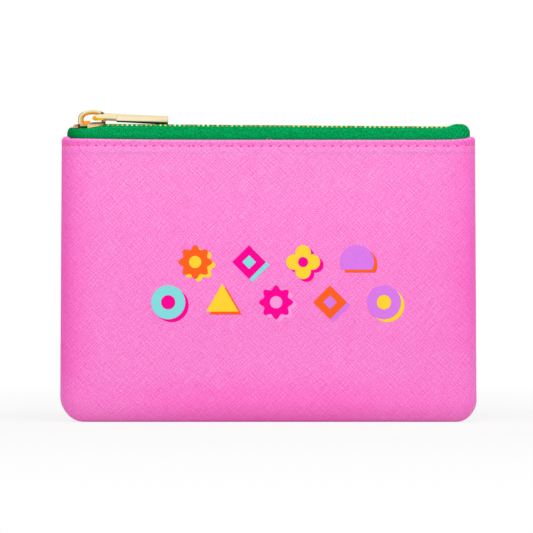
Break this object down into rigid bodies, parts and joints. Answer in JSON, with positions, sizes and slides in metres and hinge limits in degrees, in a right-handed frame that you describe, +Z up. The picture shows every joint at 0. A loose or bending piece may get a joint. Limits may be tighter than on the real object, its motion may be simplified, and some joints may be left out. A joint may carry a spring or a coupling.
{
  "type": "zip pouch",
  "caption": "Flat zip pouch of pink grained leatherette with a green zip tape, metal teeth and a slider with a bar pull, for game tiles.",
  "frame": {"origin": "middle of the flat strip under the pouch that it stands on, halfway along and halfway through", "axes": "+Z up to the zip, -Y out of the front panel, +X to the right seen from the front, along the zip"},
  "size_m": [0.2294, 0.024, 0.1712],
  "materials": {
    "pink_leatherette": "crosshatch grain, semi-matt",
    "pink_lining": "plain woven",
    "green_tape": "woven zip tape",
    "pink_thread": "twisted thread",
    "gold_teeth": "plated gold",
    "copper_stop": "plated rose gold",
    "gold_slider": "polished pale gold",
    "gold_pull": "polished pale gold"
  },
  "bodies": {
    "pouch": {"front_panel": "pink_leatherette", "back_panel": "pink_leatherette", "front_lining": "pink_lining", "back_lining": "pink_lining", "front_tape": "green_tape", "back_tape": "green_tape", "front_topstitch": "pink_thread", "back_topstitch": "pink_thread", "front_teeth": "gold_teeth", "back_teeth": "gold_teeth", "front_top_stop": "copper_stop", "back_top_stop": "copper_stop", "bottom_stop": "copper_stop"},
    "slider": {"slider_body": "gold_slider", "slider_crown": "gold_slider"},
    "pull": {"pull_link": "gold_pull", "pull_bar": "gold_pull"}
  },
  "joints": [
    {"name": "slider_slide", "type": "slide", "parent": "pouch", "child": "slider", "axis": [1, 0, -0.007], "range_m": [0, 0.1873], "deforming": ["front_teeth", "back_teeth"]},
    {"name": "pull_swing", "type": "hinge", "parent": "slider", "child": "pull", "pos_m": [-0.09572, 0, 0.16667], "axis": [0, -1, 0], "range_deg": [0, 150]}
  ]
}
